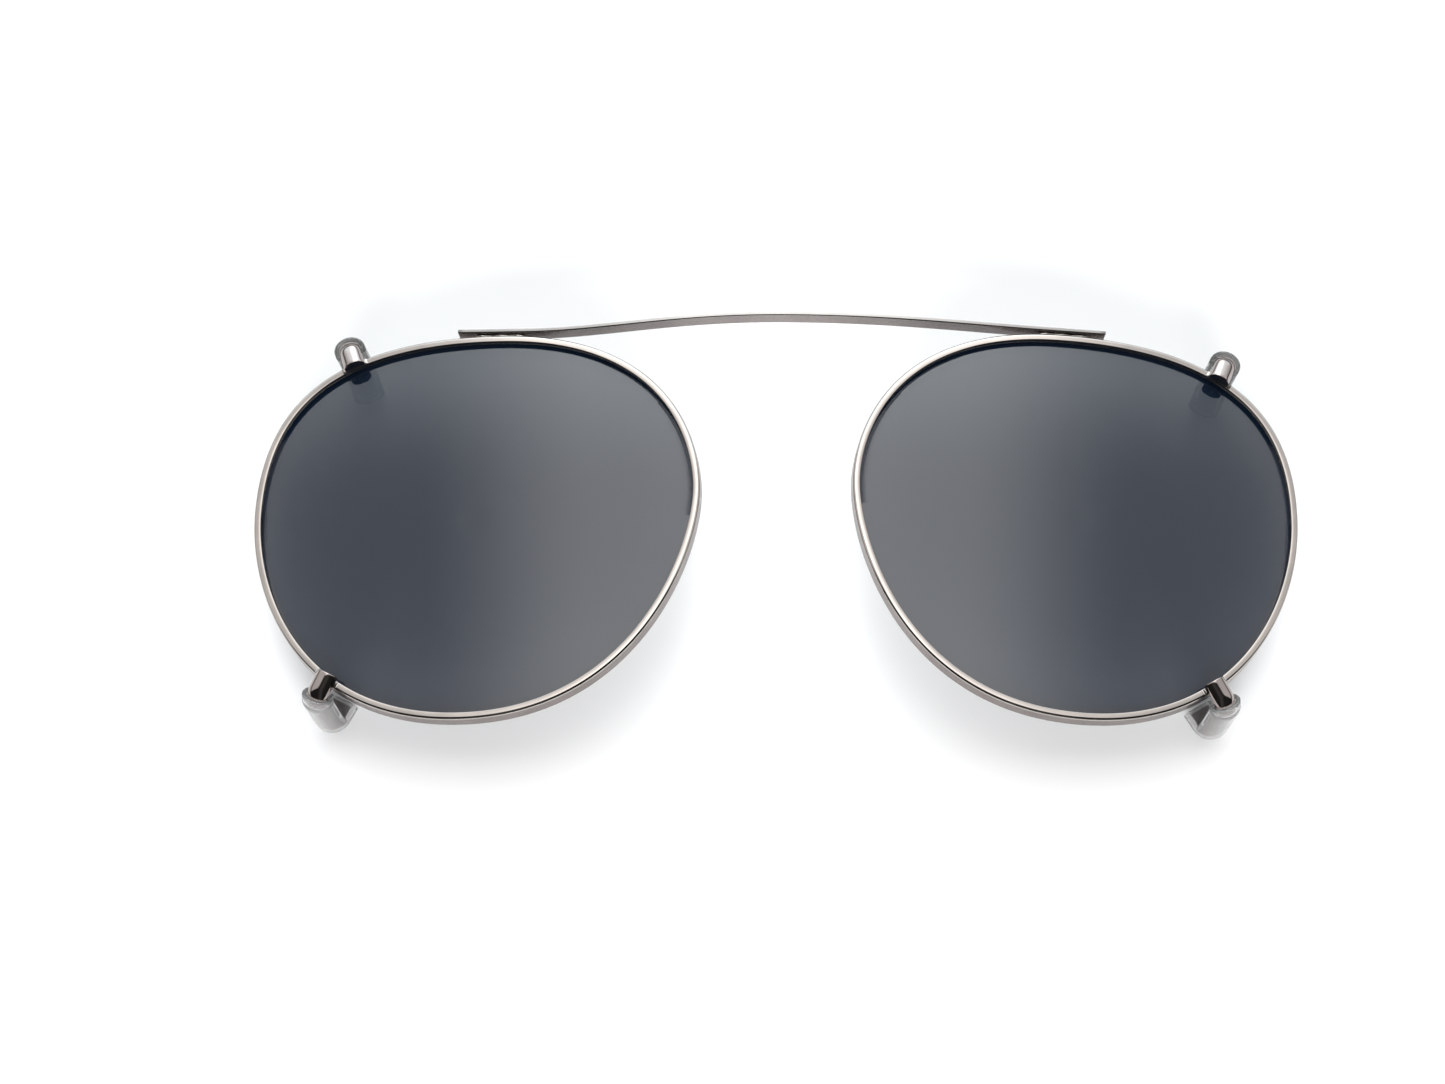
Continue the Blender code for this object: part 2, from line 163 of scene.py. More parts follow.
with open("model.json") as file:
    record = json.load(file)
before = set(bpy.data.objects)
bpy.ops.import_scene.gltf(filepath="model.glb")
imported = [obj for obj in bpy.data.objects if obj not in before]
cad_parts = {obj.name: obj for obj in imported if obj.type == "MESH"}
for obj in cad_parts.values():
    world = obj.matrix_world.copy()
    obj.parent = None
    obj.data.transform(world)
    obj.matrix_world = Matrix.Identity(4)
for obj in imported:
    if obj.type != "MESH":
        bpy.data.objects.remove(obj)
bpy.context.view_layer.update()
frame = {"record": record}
FLEX_LINE = Vector(frame["record"]["behaviour"]["joints"][0]["pos_m"])
SHIFT = FLEX_LINE - Vector((0, BAR_RISE, BAR_CROWN_HEIGHT - BAR_DEPTH / 2))


# ---------------------------------------------------------------- shapes

def sag(u, v):
    """How far the lens surface has fallen behind its centre at (u, v)."""
    return math.sqrt(LENS_RADIUS**2 - u * u - v * v) - LENS_RADIUS


def outline_segments():
    """The four Bezier quarters of the lens edge, clockwise from the top."""
    top = Vector((TOP_SHIFT, HALF_HEIGHT))
    temple = Vector((HALF_WIDTH, TEMPLE_RISE))
    bottom = Vector((BOTTOM_SHIFT, -HALF_HEIGHT))
    nasal = Vector((-HALF_WIDTH, NASAL_RISE))
    right = Vector((1, 0))
    up = Vector((0, 1))
    return (
        (
            top,
            top + right * TOP_FULLNESS[1] * (HALF_WIDTH - TOP_SHIFT),
            temple + up * TEMPLE_FULLNESS[0] * (HALF_HEIGHT - TEMPLE_RISE),
            temple,
        ),
        (
            temple,
            temple - up * TEMPLE_FULLNESS[1] * (HALF_HEIGHT + TEMPLE_RISE),
            bottom + right * BOTTOM_FULLNESS[0] * (HALF_WIDTH - BOTTOM_SHIFT),
            bottom,
        ),
        (
            bottom,
            bottom - right * BOTTOM_FULLNESS[1] * (HALF_WIDTH + BOTTOM_SHIFT),
            nasal - up * NASAL_FULLNESS[0] * (HALF_HEIGHT + NASAL_RISE),
            nasal,
        ),
        (
            nasal,
            nasal + up * NASAL_FULLNESS[1] * (HALF_HEIGHT - NASAL_RISE),
            top - right * TOP_FULLNESS[0] * (HALF_WIDTH + TOP_SHIFT),
            top,
        ),
    )


def bezier(knots, t):
    """Point at t on a cubic Bezier."""
    start, pull_start, pull_end, end = knots
    s = 1 - t
    return start * s**3 + pull_start * 3 * s * s * t + pull_end * 3 * s * t * t + end * t**3


def tangent(knots, t):
    """Unit direction of travel at t on a cubic Bezier."""
    start, pull_start, pull_end, end = knots
    s = 1 - t
    way = (pull_start - start) * s * s + (pull_end - pull_start) * 2 * s * t + (end - pull_end) * t * t
    return way.normalized()


def outline_points(steps=OUTLINE_STEPS):
    """Points round the whole lens edge, clockwise."""
    return [bezier(knots, step / steps) for knots in outline_segments() for step in range(steps)]


def on_dome(points):
    """Lift flat outline points onto the lens surface."""
    return [Vector((p.x, p.y, sag(p.x, p.y))) for p in points]


def unit_seat(side):
    """Matrix from a lens unit's own frame to the object; side is 1 for +X and -1 for -X."""
    place = Matrix.Translation(SHIFT + Vector((side * UNIT_CENTRE, 0, 0)))
    turn = Matrix.Rotation(UNIT_TURN, 4, "Z")
    mirror = Matrix.Diagonal((side, 1, 1, 1))
    wrap = Matrix.Rotation(WRAP_ANGLE, 4, "Y")
    return place @ turn @ mirror @ wrap


def rounded(corners):
    """Closed section whose corners (x, y, radius) are rounded off."""
    points = []
    for i, (x, y, radius) in enumerate(corners):
        here = Vector((x, y))
        if not radius:
            points.append(here)
            continue
        before = (Vector(corners[i - 1][:2]) - here).normalized() * radius
        after = (Vector(corners[(i + 1) % len(corners)][:2]) - here).normalized() * radius
        for step in range(CORNER_STEPS + 1):
            a = math.pi / 2 * step / CORNER_STEPS
            points.append(here + before * (1 - math.sin(a)) + after * (1 - math.cos(a)))
    return points


def frames(path, closed=False):
    """For each point of a path: the point, the direction to its left, up from it, and its travel."""
    result = []
    count = len(path)
    for i, here in enumerate(path):
        before = path[i - 1] if closed or i else here
        after = path[(i + 1) % count] if closed or i < count - 1 else here
        travel = (after - before).normalized()
        left = Vector((0, 0, 1)).cross(travel).normalized()
        result.append((here, left, travel.cross(left), travel))
    return result


def place_section(station, section):
    """Section points set on a station of a path."""
    here, left, up, _ = station
    return [here + left * p[0] + up * p[1] for p in section]


def polish_or_shaded_side(section, left_top, right_top):
    """0 for the polished front of a section, 1 for the satin sides that start below the tops; the sides'
    material is a darker copy of the metal, painted shade.
    """
    finish_and_shade = []
    for i, one in enumerate(section):
        two = section[(i + 1) % len(section)]
        top = left_top if one[0] + two[0] > 0 else right_top
        finish_and_shade.append(0 if min(one[1], two[1]) > top else 1)
    return finish_and_shade


def shrink(section, inset):
    """A section drawn in towards its middle by an inset."""
    middle = sum((Vector(p) for p in section), Vector((0, 0))) / len(section)
    half = [max(abs(p[i] - middle[i]) for p in section) for i in range(2)]
    keep = [max(0.02, 1 - inset / h) for h in half]
    return [Vector((middle[i] + (p[i] - middle[i]) * keep[i] for i in range(2))) for p in section]


def rounded_ends(stations, section, radius):
    """Loops of a swept section whose two ends are rounded over by a radius."""
    loops = [place_section(station, section) for station in stations]
    for station, direction, front in ((stations[0], -1, True), (stations[-1], 1, False)):
        here, left, up, travel = station
        extra = []
        for step in range(1, END_STEPS + 1):
            a = math.pi / 2 * step / END_STEPS
            moved = (here + travel * direction * radius * math.sin(a), left, up, travel)
            extra.append(place_section(moved, shrink(section, radius * (1 - math.cos(a)))))
        loops = extra[::-1] + loops if front else loops + extra
    return loops


def loft(name, loops, closed=False, finish_and_shade=None):
    """Skin a row of matching closed loops into one solid piece; the side list gives each side's material,
    the polished front or the satin sides painted darker as shade.
    """
    work = bmesh.new()
    rings = [[work.verts.new(p) for p in loop] for loop in loops]
    count = len(rings[0])
    pairs = list(zip(rings, rings[1:]))
    if closed:
        pairs.append((rings[-1], rings[0]))
    for one, two in pairs:
        for i in range(count):
            j = (i + 1) % count
            face = work.faces.new((one[i], one[j], two[j], two[i]))
            if finish_and_shade:
                face.material_index = finish_and_shade[i]
    if not closed:
        work.faces.new(rings[0][::-1])
        work.faces.new(rings[-1])
    bmesh.ops.recalc_face_normals(work, faces=work.faces)
    mesh = bpy.data.meshes.new(name)
    work.to_mesh(mesh)
    work.free()
    piece = bpy.data.objects.new(name, mesh)
    bpy.context.scene.collection.objects.link(piece)
    return piece


def finish_piece(piece, matrix, materials, sharp=38.0):
    """Seat a piece's mesh, keep its faces outward, smooth it and give it its materials."""
    mesh = piece.data
    mesh.transform(matrix)
    if matrix.determinant() < 0:
        mesh.flip_normals()
    mesh.shade_smooth()
    mesh.set_sharp_from_angle(angle=math.radians(sharp))
    for material in materials if isinstance(materials, tuple) else (materials,):
        mesh.materials.append(material)
    weigh = piece.modifiers.new("even_shading", "WEIGHTED_NORMAL")
    weigh.keep_sharp = True


# ---------------------------------------------------------------- materials

def new_material(name, **settings):
    """A material with its Principled shader's plain sockets set; returns it, its nodes and shader."""
    material = bpy.data.materials.new(name)
    material.use_nodes = True
    shader = material.node_tree.nodes["Principled BSDF"]
    for socket, value in settings.items():
        shader.inputs[socket.replace("_", " ")].default_value = value
    return material, material.node_tree, shader


def add_noise(tree, scale, detail, stretch=(1, 1, 1)):
    """Noise in the object's own coordinates, in features of 1/scale metres."""
    place = tree.nodes.new("ShaderNodeTexCoord")
    warp = tree.nodes.new("ShaderNodeMapping")
    warp.inputs["Scale"].default_value = stretch
    texture = tree.nodes.new("ShaderNodeTexNoise")
    texture.inputs["Scale"].default_value = scale
    texture.inputs["Detail"].default_value = detail
    tree.links.new(place.outputs["Object"], warp.inputs["Vector"])
    tree.links.new(warp.outputs["Vector"], texture.inputs["Vector"])
    return texture.outputs["Fac"]


def add_ramp(tree, source, stops):
    """A colour ramp driven by a value; stops are its two (position, colour) pairs."""
    ramp = tree.nodes.new("ShaderNodeValToRGB")
    marks = ramp.color_ramp.elements
    for mark, (position, colour) in zip(marks, stops):
        mark.position = position
        mark.color = (*colour, 1)
    tree.links.new(source, ramp.inputs["Fac"])
    return ramp.outputs["Color"]


def add_range(tree, source, low, high):
    """Stretch a 0.3 to 0.7 noise value to a range."""
    spread = tree.nodes.new("ShaderNodeMapRange")
    spread.inputs["From Min"].default_value = 0.3
    spread.inputs["From Max"].default_value = 0.7
    spread.inputs["To Min"].default_value = low
    spread.inputs["To Max"].default_value = high
    tree.links.new(source, spread.inputs["Value"])
    return spread.outputs["Result"]


def add_bump(tree, shader, source, height, strength=1.0):
    """Raise the surface by a height in metres with a value."""
    bump = tree.nodes.new("ShaderNodeBump")
    bump.inputs["Strength"].default_value = strength
    bump.inputs["Distance"].default_value = height
    tree.links.new(source, bump.inputs["Height"])
    tree.links.new(bump.outputs["Normal"], shader.inputs["Normal"])


def metal(name, dark, light, smooth, rough, grain=1400):
    """Polished gunmetal: fine polishing grain, cloudy tone and slightly uneven gloss."""
    material, tree, shader = new_material(name, Metallic=1.0)
    cloud = add_noise(tree, 260, 4)
    tree.links.new(add_ramp(tree, cloud, ((0.35, dark), (0.65, light))), shader.inputs["Base Color"])
    streak = add_noise(tree, grain, 5, stretch=(1, 1, 3))
    tree.links.new(add_range(tree, streak, smooth, rough), shader.inputs["Roughness"])
    add_bump(tree, shader, add_noise(tree, grain * 2.5, 3), 0.0012 * MM, 0.5)
    return material


def make_materials():
    """Every material of the object, by the slot it stands for."""
    looks = {
        "rim_wire": metal("rim_front_polished", (0.36, 0.33, 0.31), (0.41, 0.375, 0.35), 0.06, 0.14),
        # Rim sides: a rougher satin finish, and a darker copy of the rim metal as painted shade.
        "rim_side_shaded": metal("rim_side_satin_painted_shade", (0.195, 0.168, 0.161), (0.24, 0.208, 0.20), 0.24, 0.36),
        "spring_bar": metal("bar_edge_polished", (0.255, 0.247, 0.242), (0.285, 0.275, 0.27), 0.07, 0.15),
        # Bar sides: a rougher satin finish, and a slightly darker, warmer copy of the bar metal as painted
        # shade.
        "bar_side_shaded": metal("bar_side_satin_painted_shade", (0.235, 0.205, 0.197), (0.28, 0.245, 0.235), 0.22, 0.34),
        "claw_wire": metal("claw_gunmetal", (0.30, 0.262, 0.25), (0.36, 0.318, 0.305), 0.04, 0.11),
        "braze_metal": metal("braze_bright", (0.34, 0.32, 0.30), (0.44, 0.41, 0.39), 0.12, 0.26, 2600),
    }
    material, tree, shader = new_material("lens_tint", IOR=1.56, Alpha=0.79)
    cloud = add_noise(tree, 45, 3)
    tint = add_ramp(tree, cloud, ((0.3, (0.0040, 0.0100, 0.0220)), (0.7, (0.0055, 0.0120, 0.0255))))
    tree.links.new(tint, shader.inputs["Base Color"])
    tree.links.new(add_range(tree, add_noise(tree, 250, 3), 0.02, 0.035), shader.inputs["Roughness"])
    add_bump(tree, shader, add_noise(tree, 40, 1), 0.001 * MM, 0.02)
    looks["tinted_lens"] = material

    material, tree, shader = new_material("sleeve_clear", IOR=1.45, Transmission_Weight=0.9)
    cloud = add_noise(tree, 500, 4)
    clear = add_ramp(tree, cloud, ((0.3, (0.66, 0.65, 0.645)), (0.7, (0.78, 0.775, 0.77))))
    tree.links.new(clear, shader.inputs["Base Color"])
    tree.links.new(add_range(tree, add_noise(tree, 1800, 4), 0.08, 0.24), shader.inputs["Roughness"])
    add_bump(tree, shader, add_noise(tree, 700, 3), 0.012 * MM, 0.5)
    looks["clear_sleeve"] = material
    return looks


# ---------------------------------------------------------------- pieces

def rim_section():
    """Section of the rim wire: x outward from the lens, y up from the front face."""
    front_groove = -LENS_RECESS + GROOVE_CLEARANCE
    back_groove = -LENS_RECESS - LENS_THICKNESS - GROOVE_CLEARANCE
    outside = RIM_OUTSIDE - SKIN_INSET
    return rounded([
        (-RIM_INSIDE, front_groove, RIM_INNER_ROUND / 2),
        (-RIM_INSIDE, 0, RIM_INNER_ROUND),
        (outside, 0, RIM_OUTER_ROUND),
        (outside, -RIM_DEPTH, RIM_BACK_ROUND),
        (-RIM_INSIDE, -RIM_DEPTH, RIM_INNER_ROUND),
        (-RIM_INSIDE, back_groove, RIM_INNER_ROUND / 2),
        (LENS_EDGE_CLEARANCE, back_groove, 0),
        (LENS_EDGE_CLEARANCE, front_groove, 0),
    ])


def make_rim(name, side, materials):
    """The grooved wire bent round the lens, its edges rounded by polishing; its satin sides are a darker
    copy of its metal, painted shade.
    """
    section = rim_section()
    loops = [place_section(s, section) for s in frames(on_dome(outline_points()), closed=True)]
    finish_and_shade = polish_or_shaded_side(section, -RIM_OUTER_ROUND * POLISH_REACH, -RIM_DEPTH)
    rim = loft(name, loops, closed=True, finish_and_shade=finish_and_shade)
    finish_piece(rim, unit_seat(side), materials)
    return rim


def make_lens(name, side, material):
    """The domed lens with a bevelled edge standing in the rim's groove."""
    edge = outline_points()
    front = []
    for ring in range(1, LENS_RINGS + 1):
        part = ring / LENS_RINGS
        grown = part if ring < LENS_RINGS else 1 - LENS_BEVEL / HALF_HEIGHT
        front.append([Vector((p.x * grown, p.y * grown, 0)) for p in edge])
    loops = []
    for loop in front:
        loops.append([Vector((p.x, p.y, sag(p.x, p.y) - LENS_RECESS)) for p in loop])
    rim_line = [Vector((p.x, p.y, sag(p.x, p.y) - LENS_RECESS - LENS_BEVEL)) for p in edge]
    back_line = [p + Vector((0, 0, 2 * LENS_BEVEL - LENS_THICKNESS)) for p in rim_line]
    loops += [rim_line, back_line]
    for loop in front[::-1]:
        loops.append([Vector((p.x, p.y, sag(p.x, p.y) - LENS_RECESS - LENS_THICKNESS)) for p in loop])
    lens = loft(name, loops)
    finish_piece(lens, unit_seat(side), material)
    return lens


def claw_root(corner):
    """Point on the rim's inner edge where a claw starts."""
    _, upper, place, _ = CLAWS[corner]
    knots = outline_segments()[0 if upper else 1]
    along = tangent(knots, place)
    return bezier(knots, place) - Vector((-along.y, along.x)) * RIM_INSIDE


def claw_seat(corner):
    """Matrix from a claw's drawing plane (x outward, y up the wire, z sideways) to the object."""
    side, upper, _, lean = CLAWS[corner]
    root = claw_root(corner)
    out = Vector((math.sin(lean), math.cos(lean) if upper else -math.cos(lean), 0))
    front = Vector((0, 0, 1))
    matrix = Matrix((out, front, out.cross(front))).transposed().to_4x4()
    matrix.translation = (root.x, root.y, sag(root.x, root.y))
    return unit_seat(side) @ matrix


def claw_stations(start_angle=None, tip=CLAW_TIP):
    """Stations along the claw's inner face, from the root down over the rim's edge to the tip."""
    shoulder = CLAW_REACH - CLAW_THICKNESS - CLAW_BEND
    low = -CLAW_DEPTH + CLAW_THICKNESS + SLEEVE_WALL
    run = shoulder + CLAW_BEND * math.sin(CLAW_SLOPE)
    top = CLAW_SEAT - run * math.tan(CLAW_SLOPE) - CLAW_BEND * math.cos(CLAW_SLOPE)
    path = []
    if start_angle is None:
        start_angle = CLAW_SLOPE
        for step in range(CLAW_RUN_STEPS):
            x = run * step / CLAW_RUN_STEPS
            path.append(Vector((x, CLAW_SEAT - x * math.tan(CLAW_SLOPE), 0)))
    for step in range(BEND_STEPS + 1):
        a = start_angle + (math.pi / 2 - start_angle) * step / BEND_STEPS
        path.append(Vector((shoulder + CLAW_BEND * math.sin(a), top + CLAW_BEND * math.cos(a), 0)))
    knee = path[-1]
    drop = knee.y - (low + CLAW_BEND)
    path += [knee - Vector((0, drop * step / CLAW_DROP_STEPS, 0)) for step in range(1, CLAW_DROP_STEPS)]
    for step in range(BEND_STEPS + 1):
        a = math.pi / 2 * step / BEND_STEPS
        path.append(Vector((shoulder + CLAW_BEND * math.cos(a), low + CLAW_BEND * (1 - math.sin(a)), 0)))
    heel = path[-1]
    for step in range(1, CLAW_RUN_STEPS + 1):
        path.append(heel - Vector(((heel.x - tip) * step / CLAW_RUN_STEPS, 0, 0)))
    return frames(path)


def claw_section(gap, corner_round):
    """Half-round section of the claw wire, crown outward, grown by a gap."""
    half = CLAW_WIDTH / 2 + gap
    rise = CLAW_THICKNESS - CLAW_SIDE + gap
    points = []
    for step in range(CROWN_STEPS + 1):
        a = math.pi * step / CROWN_STEPS - math.pi / 2
        points.append(Vector((CLAW_SIDE + rise * math.cos(a), half * math.sin(a))))
    r = min(corner_round, CLAW_SIDE + gap)
    for hand in (1, -1):
        for step in range(CORNER_STEPS + 1):
            a = math.pi / 2 * step / CORNER_STEPS
            turn = a if hand > 0 else math.pi / 2 - a
            points.append(Vector((-gap + r - r * math.sin(turn), hand * (half - r + r * math.cos(turn)))))
    return points


def make_claw(name, corner, material):
    """Polished half-round claw over the rim's edge and back behind it, its ends eased."""
    loops = rounded_ends(claw_stations(), claw_section(0.0, CLAW_ROUND), CLAW_END_ROUND)
    claw = loft(name, loops)
    finish_piece(claw, claw_seat(corner), material)
    return claw


def make_sleeve(name, corner, material):
    """Soft clear tube drawn over a claw: rolled lips, a neck behind the collar, an uneven skin."""
    stations = claw_stations(SLEEVE_START, CLAW_TIP - SLEEVE_OVERHANG)
    middle = SLEEVE_WALL / 2
    loops = []
    for i, station in enumerate(stations):
        neck = SLEEVE_NECK * math.exp(-(((i - NECK_STATION) / NECK_LENGTH) ** 2))
        section = claw_section(FIT + SLEEVE_WALL - SKIN_INSET - neck, SLEEVE_ROUND)
        loops.append(place_section(station, section))
    for station, direction in ((stations[-1], 1), (stations[0], -1)):
        here, left, up, travel = station
        lip = []
        for step in range(1, LIP_STEPS):
            a = math.pi * step / LIP_STEPS
            gap = FIT + middle + middle * math.cos(a)
            corner_round = CLAW_ROUND + SLEEVE_ROUND * 0.5 * (1 + math.cos(a))
            moved = (here + travel * direction * middle * 0.5 * math.sin(a), left, up, travel)
            lip.append(place_section(moved, claw_section(gap, corner_round)))
        if direction > 0:
            loops += lip
            loops += [place_section(s, claw_section(FIT, CLAW_ROUND)) for s in stations[::-1]]
        else:
            loops += lip[::-1]
    for loop in loops[: len(stations)]:
        for point in loop:
            inward = Vector((0, 0, 1 if point.z > 0 else -1))
            point -= SKIN_UNEVENNESS * abs(noise.noise(point * SKIN_GRAIN)) * inward
    sleeve = loft(name, loops, closed=True)
    finish_piece(sleeve, claw_seat(corner), material, sharp=60)
    return sleeve


def fine_outline():
    """The outline in steps fine enough to cut short lengths from it."""
    return outline_points(FINE_STEPS)


def make_claw_braze(name, corner, material):
    """Braze under a claw, welling up in a small fillet against each of the claw's sides."""
    side, upper, _, _ = CLAWS[corner]
    root = claw_root(corner)
    half = CLAW_WIDTH / 2
    reach = half + BRAZE_RUN
    near = [p for p in fine_outline() if (p - root).length < math.hypot(reach, RIM_INSIDE)]
    near.sort(key=lambda p: p.x if upper else -p.x)
    stations = frames(on_dome(near[:: max(1, len(near) // CLAW_BRAZE_STEPS)]))
    inner = -RIM_INSIDE + RIM_INNER_ROUND
    middle = near[len(near) // 2]
    loops = []
    for station in stations:
        away = (Vector(station[0][:2]) - middle).length
        past = max(0.0, away - half)
        rise = BRAZE_THICKNESS
        if past:
            rise = BRAZE_RISE * max(0.0, 1 - past / BRAZE_RUN) ** 1.7 + BRAZE_TAIL
        corners = [
            (inner, FIT * 0.3, 0),
            (inner + BRAZE_SPAN, FIT * 0.3, 0),
            (inner + BRAZE_SPAN, FIT + rise, min(BRAZE_ROUND, rise)),
            (inner, FIT + rise, min(BRAZE_ROUND, rise)),
        ]
        loops.append(place_section(station, rounded(corners)))
    braze = loft(name, loops)
    finish_piece(braze, unit_seat(side), material, sharp=50)
    return braze


def make_foot_braze(name, side, material):
    """Braze between the rim's top and a foot of the bridge bar, its front uneven as it set."""
    low_u = min(FOOT_BRAZE_ENDS)
    high_u = max(FOOT_BRAZE_ENDS)
    near = [p for p in fine_outline() if p.y > 0 and low_u <= p.x <= high_u]
    near.sort(key=lambda p: p.x)
    stations = frames(on_dome(near[:: max(1, len(near) // FOOT_BRAZE_STEPS)]))
    loops = []
    for station in stations:
        wave = noise.noise(station[0] * FOOT_BRAZE_GRAIN) * FOOT_BRAZE_WAVE
        top = -RIM_OUTER_ROUND + wave
        near_x = RIM_OUTSIDE + FIT * 0.2
        far_x = RIM_OUTSIDE + 1.8 * FIT + BRAZE_THICKNESS
        corners = [
            (near_x, -RIM_OUTER_ROUND - FOOT_BRAZE_DEPTH, 0.04 * MM),
            (far_x, -RIM_OUTER_ROUND - FOOT_BRAZE_DEPTH, 0.04 * MM),
            (far_x, top, 0.06 * MM),
            (near_x, top, 0.06 * MM),
        ]
        loops.append(place_section(station, rounded(corners)))
    braze = loft(name, loops)
    finish_piece(braze, unit_seat(side), material, sharp=50)
    return braze


def foot_point(side, u):
    """Point of the bar's centre line over a rim's top, in the object."""
    return unit_seat(side) @ Vector((u, FOOT_LINE, sag(u, HALF_HEIGHT) + BAR_PROUD - BAR_DEPTH / 2))


def bar_path():
    """Centre line of the bridge bar from the -X foot over the crown to the +X foot."""
    crown = FLEX_LINE
    path = []
    for side in (-1, 1):
        end = foot_point(side, FOOT_TEMPLE_END)
        start = foot_point(side, FOOT_NASAL_END)
        way = (start - end).normalized()
        reach = abs(start.x - SHIFT.x)
        level = Vector((side, 0, 0))
        knots = (start, start + way * reach * BAR_FOOT_PULL, crown + level * reach * BAR_CROWN_PULL, crown)
        half = [end.lerp(start, step / FOOT_STEPS) for step in range(FOOT_STEPS)]
        half += [bezier(knots, step / BAR_STEPS) for step in range(BAR_STEPS)]
        path = path + half + [crown] if side < 0 else path + half[::-1]
    return path


def make_bar(name, materials):
    """The polished flat spring strip joining the rims, with eased corners and ends; its satin sides are a
    slightly darker, warmer copy of its metal, painted shade.
    """
    x = BAR_THICKNESS / 2
    y = BAR_DEPTH / 2
    far = BAR_FAR_ROUND
    near = BAR_NEAR_ROUND
    section = rounded([(x, -y, far), (x, y, far), (-x, y, near), (-x, -y, near)])
    stations = frames(bar_path())
    first = stations[0]
    last = stations[-1]
    stations[0] = (first[0] + first[3] * BAR_END_ROUND, *first[1:])
    stations[-1] = (last[0] - last[3] * BAR_END_ROUND, *last[1:])
    finish_and_shade = polish_or_shaded_side(section, y - far * POLISH_REACH, y - near * POLISH_REACH)
    bar = loft(name, rounded_ends(stations, section, BAR_END_ROUND), finish_and_shade=finish_and_shade)
    finish_piece(bar, Matrix.Identity(4), materials)
    return bar


# ---------------------------------------------------------------- studio

def make_floor():
    """Plain white table top."""
    mesh = bpy.data.meshes.new("table_top")
    work = bmesh.new()
    bmesh.ops.create_grid(work, x_segments=8, y_segments=8, size=1.5)
    work.to_mesh(mesh)
    work.free()
    floor = bpy.data.objects.new("table_top", mesh)
    bpy.context.scene.collection.objects.link(floor)
    material, tree, shader = new_material("table_white", Roughness=0.65)
    shader.inputs["Specular IOR Level"].default_value = 0.2
    cloud = add_noise(tree, 14, 4)
    tone = add_ramp(tree, cloud, ((0.3, (0.855, 0.855, 0.86)), (0.7, (0.875, 0.875, 0.875))))
    tree.links.new(tone, shader.inputs["Base Color"])
    mesh.materials.append(material)


def make_sky():
    """Studio surround: a tent over the far half, a dark near half, and a plain pale backdrop behind it all.

    The tent lights the object and shows in its polish; looked at straight, the surround is plain.
    """
    world = bpy.data.worlds.new("studio")
    bpy.context.scene.world = world
    world.use_nodes = True
    tree = world.node_tree
    place = tree.nodes.new("ShaderNodeTexCoord")
    split = tree.nodes.new("ShaderNodeSeparateXYZ")
    tree.links.new(place.outputs["Generated"], split.inputs["Vector"])
    width = tree.nodes.new("ShaderNodeMath")
    width.operation = "ABSOLUTE"
    tree.links.new(split.outputs["X"], width.inputs[0])

    def window(source, low, high, dark, bright):
        """A soft-edged change from dark to bright as the source goes from low to high."""
        edge = tree.nodes.new("ShaderNodeMapRange")
        edge.interpolation_type = "SMOOTHSTEP"
        for socket, value in zip(("From Min", "From Max", "To Min", "To Max"), (low, high, dark, bright)):
            edge.inputs[socket].default_value = value
        tree.links.new(source, edge.inputs["Value"])
        return edge.outputs["Result"]

    def glow(colour, strength):
        """Light of one colour, its strength given by a window."""
        back = tree.nodes.new("ShaderNodeBackground")
        back.inputs["Color"].default_value = (*colour, 1)
        tree.links.new(strength, back.inputs["Strength"])
        return back.outputs["Background"]

    def times(one, two):
        """Multiply two values."""
        join = tree.nodes.new("ShaderNodeMath")
        join.operation = "MULTIPLY"
        tree.links.new(one, join.inputs[0])
        tree.links.new(two, join.inputs[1])
        return join.outputs["Value"]

    def plus(one, two):
        """Add two glows."""
        join = tree.nodes.new("ShaderNodeAddShader")
        tree.links.new(one, join.inputs[0])
        tree.links.new(two, join.inputs[1])
        return join.outputs["Shader"]

    near = window(split.outputs["Y"], -0.06, 0.02, NEAR_DARK, 1.0)
    tent = times(near, window(split.outputs["Z"], 0.06, 0.34, 0.12, 1.0))
    general = times(tent, window(split.outputs["Z"], 0.0, 0.5, 0.8, TENT_GLOW))
    strip = times(tent, window(width.outputs["Value"], 0.05, 0.38, STRIP_GLOW, 0.0))
    band = times(tent, window(split.outputs["Y"], 0.45, 0.75, 0.0, BACK_GLOW))
    total = plus(glow((1.0, 1.0, 1.0), general), glow((1.0, 0.99, 0.97), strip))
    total = plus(total, glow((0.76, 0.92, 1.0), band))
    backdrop = tree.nodes.new("ShaderNodeBackground")
    backdrop.inputs["Color"].default_value = (BACKDROP_TONE, BACKDROP_TONE, BACKDROP_TONE, 1)
    rays = tree.nodes.new("ShaderNodeLightPath")
    shown = tree.nodes.new("ShaderNodeMixShader")
    tree.links.new(rays.outputs["Is Camera Ray"], shown.inputs["Fac"])
    tree.links.new(total, shown.inputs[1])
    tree.links.new(backdrop.outputs["Background"], shown.inputs[2])
    tree.links.new(shown.outputs["Shader"], tree.nodes["World Output"].inputs["Surface"])


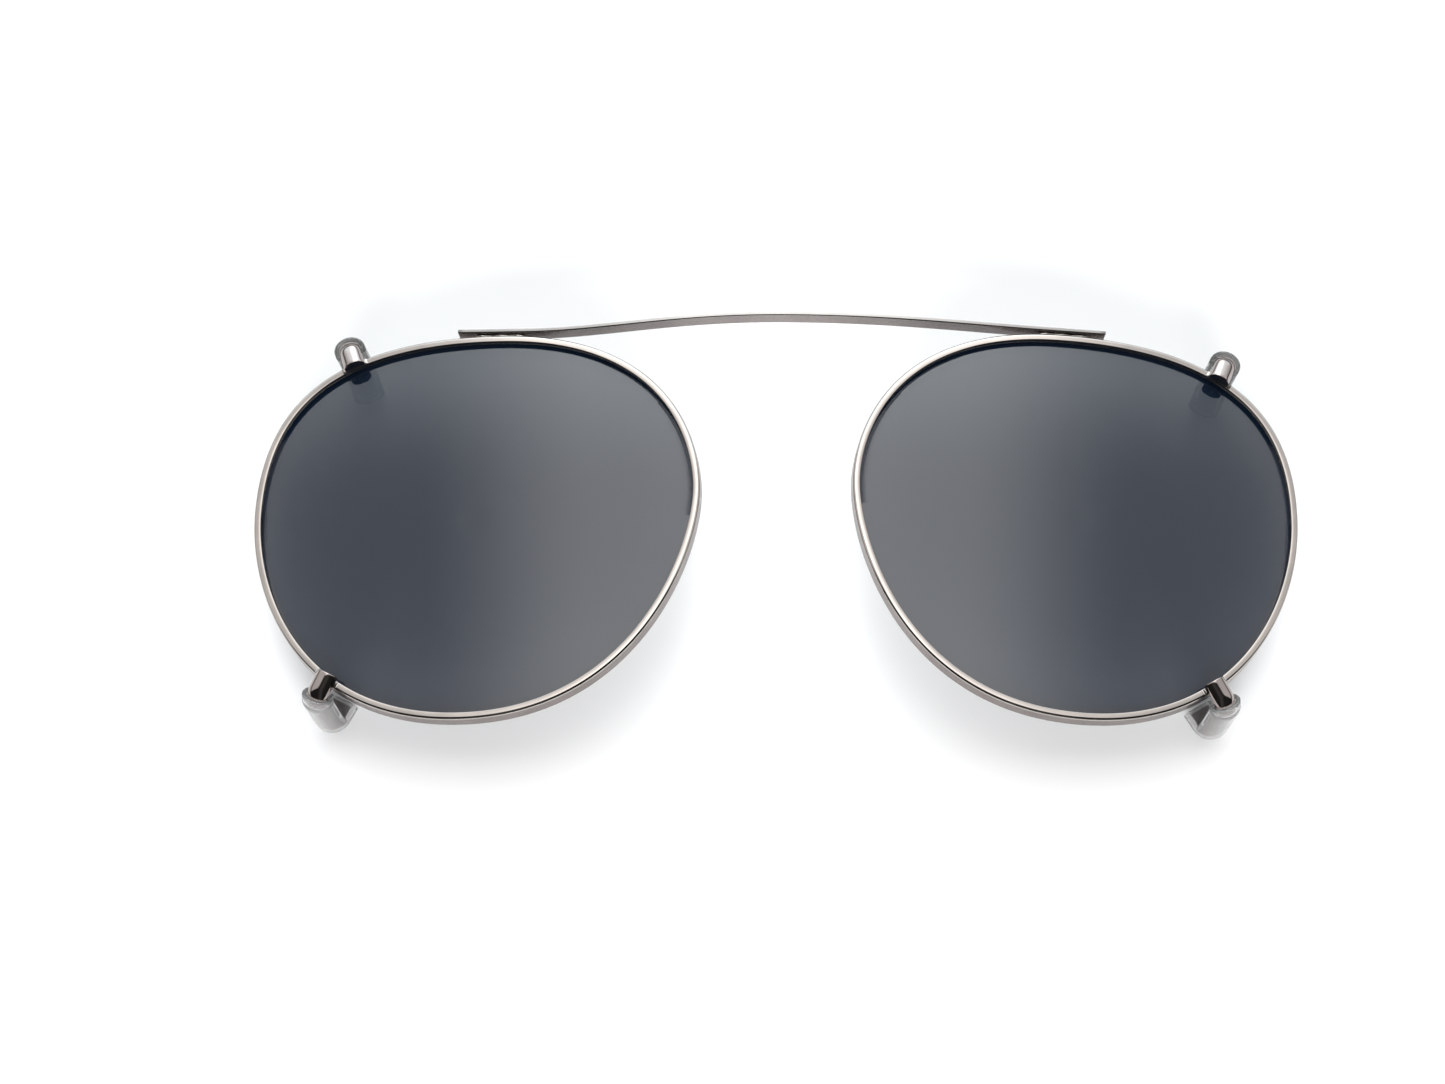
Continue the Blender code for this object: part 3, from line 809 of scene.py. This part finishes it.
def make_fill(name, place, size, power):
    """A soft light that opens the shadows on the table and doesn't show in polished metal."""
    data = bpy.data.lights.new(name, "AREA")
    data.size = size
    data.energy = power
    light = bpy.data.objects.new(name, data)
    light.location = place
    light.rotation_euler = (CAMERA_AIM - Vector(place)).to_track_quat("-Z", "Y").to_euler()
    light.visible_glossy = False
    light.visible_transmission = False
    bpy.context.scene.collection.objects.link(light)


def make_camera():
    """The camera, above and in front of the object."""
    data = bpy.data.cameras.new("camera")
    data.lens = CAMERA_LENS
    data.sensor_width = 36.0
    data.shift_x = CAMERA_SHIFT
    data.clip_start = 0.01
    camera = bpy.data.objects.new("camera", data)
    camera.location = CAMERA_PLACE
    camera.rotation_euler = (CAMERA_AIM - CAMERA_PLACE).to_track_quat("-Z", "Y").to_euler()
    bpy.context.scene.collection.objects.link(camera)
    bpy.context.scene.camera = camera


# ---------------------------------------------------------------- assembly

def attach(piece, body, node):
    """Let a piece ride on its body and stand for its CAD node, which is hidden."""
    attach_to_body(piece, body)
    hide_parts(node)


def build():
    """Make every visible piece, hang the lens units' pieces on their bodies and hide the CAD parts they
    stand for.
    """
    looks = make_materials()
    for side, hand in ((-1, "left"), (1, "right")):
        body = f"{hand}_unit"
        rim = make_rim(f"rim_wire_{hand}", side, (looks["rim_wire"], looks["rim_side_shaded"]))
        attach(rim, body, f"rim_{hand}")
        lens = make_lens(f"sun_lens_{hand}", side, looks["tinted_lens"])
        attach(lens, body, f"lens_{hand}")
        foot = make_foot_braze(f"foot_joint_{hand}", side, looks["braze_metal"])
        attach(foot, body, f"braze_foot_{hand}")
    for corner in CLAWS:
        body = f"{corner.split('_')[1]}_unit"
        claw = make_claw(f"claw_wire_{corner}", corner, looks["claw_wire"])
        attach(claw, body, f"claw_{corner}")
        sleeve = make_sleeve(f"clear_sleeve_{corner}", corner, looks["clear_sleeve"])
        attach(sleeve, body, f"sleeve_{corner}")
        braze = make_claw_braze(f"claw_joint_{corner}", corner, looks["braze_metal"])
        attach(braze, body, f"braze_{corner}")
    bar = make_bar("spring_bar", (looks["spring_bar"], looks["bar_side_shaded"]))
    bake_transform(bar)
    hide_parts("bridge_bar")


build()
make_floor()
make_sky()
make_fill("fill_near", (0.0, -0.62, 0.30), 0.5, FILL_POWER)
make_camera()
bpy.context.scene.view_settings.view_transform = "Standard"
